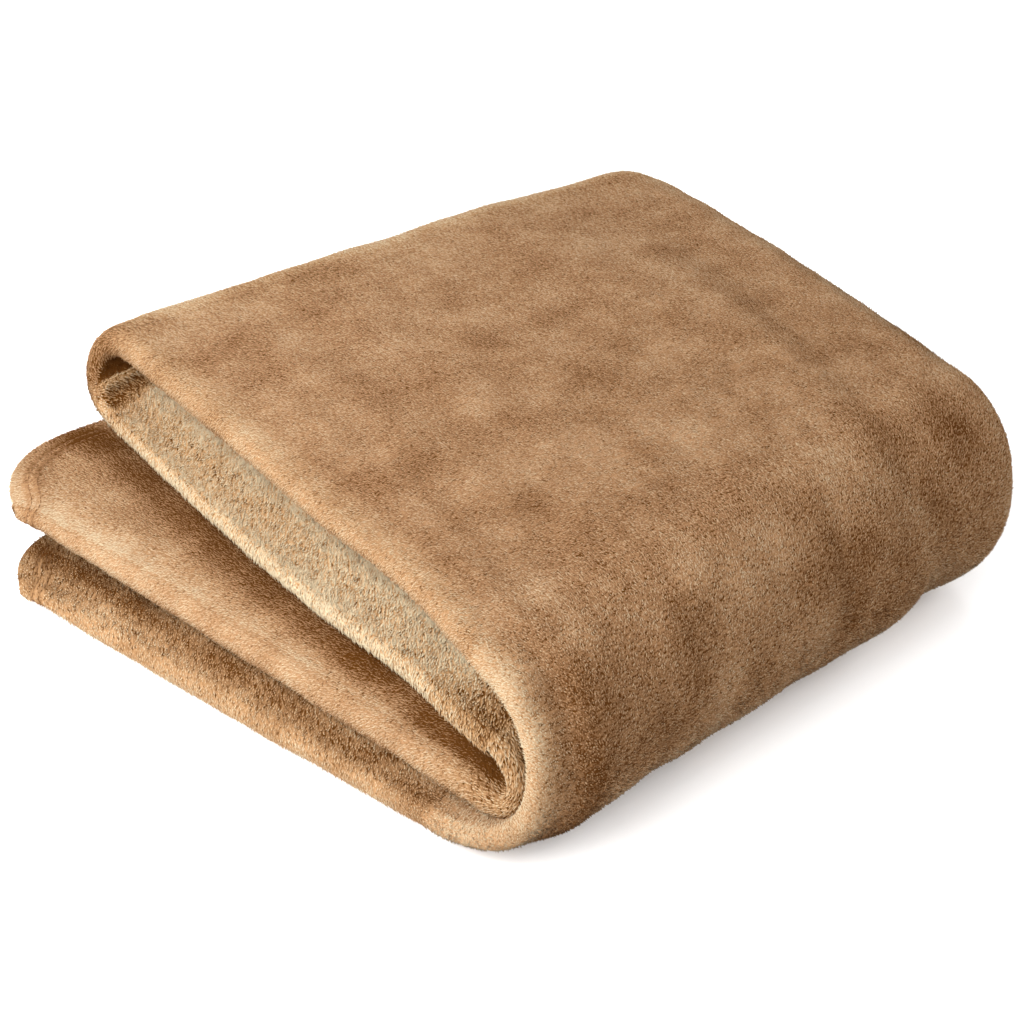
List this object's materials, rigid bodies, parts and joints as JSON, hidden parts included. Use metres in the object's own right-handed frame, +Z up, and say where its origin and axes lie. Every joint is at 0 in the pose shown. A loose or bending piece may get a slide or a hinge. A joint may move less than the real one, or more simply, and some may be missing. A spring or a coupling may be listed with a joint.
{
  "type": "folded flannel fleece throw",
  "caption": "Soft flannel fleece throw, a single hemmed rectangle of brushed cloth, folded into a thick square packet with a round front fold and its layers showing at one side",
  "frame": {"origin": "middle of the packet's outline on the surface it rests on", "axes": "+X along the round front fold towards the side hems, -X the side where the folded layers show, -Y out of the round front fold, +Z up"},
  "size_m": [0.4092, 0.3752, 0.0931],
  "materials": {
    "fleece": "tan flannel fleece with a brushed pile on both faces, matt with a soft sheen along the nap"
  },
  "bodies": {
    "root": {"throw_cloth": "fleece"}
  },
  "joints": []
}
